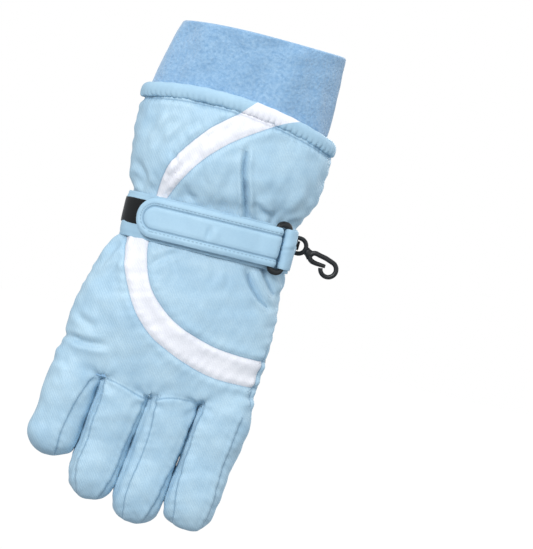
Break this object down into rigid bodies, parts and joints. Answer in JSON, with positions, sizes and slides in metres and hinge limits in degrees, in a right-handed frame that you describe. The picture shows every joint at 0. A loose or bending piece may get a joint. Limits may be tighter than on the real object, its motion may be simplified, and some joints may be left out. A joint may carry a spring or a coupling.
{
  "type": "ski glove",
  "caption": "Insulated right-hand ski glove with a fleece inner cuff, rolled hem, wrist strap on a ring, reinforced palm and a snap hook; fingers and thumb bend.",
  "frame": {"origin": "centre of the cuff's mouth, on the plane of its rim", "axes": "+Z out of the cuff, so the fingers hang down -Z; -Y is the back of the hand, +Y the palm, +X the index-finger side"},
  "size_m": [0.1651, 0.1145, 0.3153],
  "materials": {
    "shell": "matte woven shell",
    "strip": "matte woven shell, white",
    "fleece": "brushed fleece",
    "wadding": "loose polyester wadding",
    "lining": "brushed tricot lining",
    "patch": "coarse twill, slightly shiny",
    "tape": "woven hook-and-loop tape",
    "elastic": "woven elastic",
    "plastic": "moulded acetal, fine texture"
  },
  "bodies": {
    "cuff": {"fleece_cuff": "fleece", "cuff_back_outer_panel": "shell", "cuff_back_inner_panel": "shell", "cuff_strip": "strip", "cuff_palm_panel": "shell", "cuff_wadding": "wadding", "cuff_hem": "shell", "hem_strip": "strip"},
    "hand": {"hand_back_inner_panel": "shell", "hand_back_outer_panel": "shell", "hand_strip": "strip", "palm_panel": "shell", "palm_patch": "patch", "hand_wadding": "wadding", "hand_lining": "lining", "wrist_elastic": "elastic", "wrist_band": "shell", "loop_tape": "tape", "ring_keeper": "shell", "clip_tab": "tape"},
    "index_base": {"index_base_shell": "shell", "index_base_wadding": "wadding", "index_base_lining": "lining"},
    "index_tip": {"index_tip_shell": "shell", "index_tip_wadding": "wadding", "index_tip_lining": "lining"},
    "middle_base": {"middle_base_shell": "shell", "middle_base_wadding": "wadding", "middle_base_lining": "lining"},
    "middle_tip": {"middle_tip_shell": "shell", "middle_tip_wadding": "wadding", "middle_tip_lining": "lining"},
    "ring_base": {"ring_base_shell": "shell", "ring_base_wadding": "wadding", "ring_base_lining": "lining"},
    "ring_tip": {"ring_tip_shell": "shell", "ring_tip_wadding": "wadding", "ring_tip_lining": "lining"},
    "little_base": {"little_base_shell": "shell", "little_base_wadding": "wadding", "little_base_lining": "lining"},
    "little_tip": {"little_tip_shell": "shell", "little_tip_wadding": "wadding", "little_tip_lining": "lining"},
    "thumb_base": {"thumb_base_shell": "shell", "thumb_base_wadding": "wadding", "thumb_base_lining": "lining"},
    "thumb_tip": {"thumb_tip_shell": "shell", "thumb_tip_wadding": "wadding", "thumb_tip_lining": "lining"},
    "ring": {"buckle_ring": "plastic"},
    "strap": {"strap_tab": "shell", "strap_hook_tape": "tape"},
    "clip": {"clip_hook": "plastic"},
    "gate": {"clip_gate": "plastic"}
  },
  "joints": [
    {"name": "wrist_flex", "type": "hinge", "parent": "cuff", "child": "hand", "pos_m": [0, 0, -0.11], "axis": [1, 0, 0], "range_deg": [-20, 20], "stiffness_Nm_per_rad": 2},
    {"name": "index_knuckle", "type": "hinge", "parent": "hand", "child": "index_base", "pos_m": [0.035, 0.005, -0.236], "axis": [0.9914, 0, -0.1305], "range_deg": [-5, 60], "stiffness_Nm_per_rad": 0.3},
    {"name": "index_middle_bend", "type": "hinge", "parent": "index_base", "child": "index_tip", "pos_m": [0.0303, 0.005, -0.27169], "axis": [0.9914, 0, -0.1305], "range_deg": [0, 65], "stiffness_Nm_per_rad": 0.2},
    {"name": "middle_knuckle", "type": "hinge", "parent": "hand", "child": "middle_base", "pos_m": [0.002, 0.005, -0.237], "axis": [0.9914, 0, -0.1305], "range_deg": [-5, 60], "stiffness_Nm_per_rad": 0.3},
    {"name": "middle_middle_bend", "type": "hinge", "parent": "middle_base", "child": "middle_tip", "pos_m": [-0.0029, 0.005, -0.27418], "axis": [0.9914, 0, -0.1305], "range_deg": [0, 65], "stiffness_Nm_per_rad": 0.2},
    {"name": "ring_knuckle", "type": "hinge", "parent": "hand", "child": "ring_base", "pos_m": [-0.0295, 0.005, -0.236], "axis": [0.9914, 0, -0.1305], "range_deg": [-5, 60], "stiffness_Nm_per_rad": 0.3},
    {"name": "ring_middle_bend", "type": "hinge", "parent": "ring_base", "child": "ring_tip", "pos_m": [-0.03394, 0.005, -0.26971], "axis": [0.9914, 0, -0.1305], "range_deg": [0, 65], "stiffness_Nm_per_rad": 0.2},
    {"name": "little_knuckle", "type": "hinge", "parent": "hand", "child": "little_base", "pos_m": [-0.062, 0.005, -0.233], "axis": [0.9914, 0, -0.1305], "range_deg": [-5, 60], "stiffness_Nm_per_rad": 0.3},
    {"name": "little_middle_bend", "type": "hinge", "parent": "little_base", "child": "little_tip", "pos_m": [-0.0652, 0.005, -0.25729], "axis": [0.9914, 0, -0.1305], "range_deg": [0, 65], "stiffness_Nm_per_rad": 0.2},
    {"name": "thumb_swing", "type": "hinge", "parent": "hand", "child": "thumb_base", "pos_m": [0.02, 0.0385, -0.186], "axis": [0.9877, 0.0734, -0.1381], "range_deg": [-24, 30], "stiffness_Nm_per_rad": 0.5},
    {"name": "thumb_bend", "type": "hinge", "parent": "thumb_base", "child": "thumb_tip", "pos_m": [0.00548, 0.05453, -0.21615], "axis": [0, 0.8829, 0.4695], "range_deg": [0, 40], "stiffness_Nm_per_rad": 0.25},
    {"name": "ring_tilt", "type": "hinge", "parent": "hand", "child": "ring", "pos_m": [0.04848, -0.01478, -0.1263], "axis": [0, 0, 1], "range_deg": [0, 35]},
    {"name": "strap_peel", "type": "hinge", "parent": "ring", "child": "strap", "pos_m": [0.04002, -0.01972, -0.1263], "axis": [0, 0, 1], "range_deg": [0, 125]},
    {"name": "clip_swing", "type": "hinge", "parent": "hand", "child": "clip", "pos_m": [0.053, 0.007, -0.1215], "axis": [0.0419, 0, 0.9991], "range_deg": [-60, 80]},
    {"name": "clip_gate_open", "type": "hinge", "parent": "clip", "child": "gate", "pos_m": [0.06733, 0.007, -0.12961], "axis": [0, -1, 0], "range_deg": [0, 10], "stiffness_Nm_per_rad": 0.02}
  ]
}
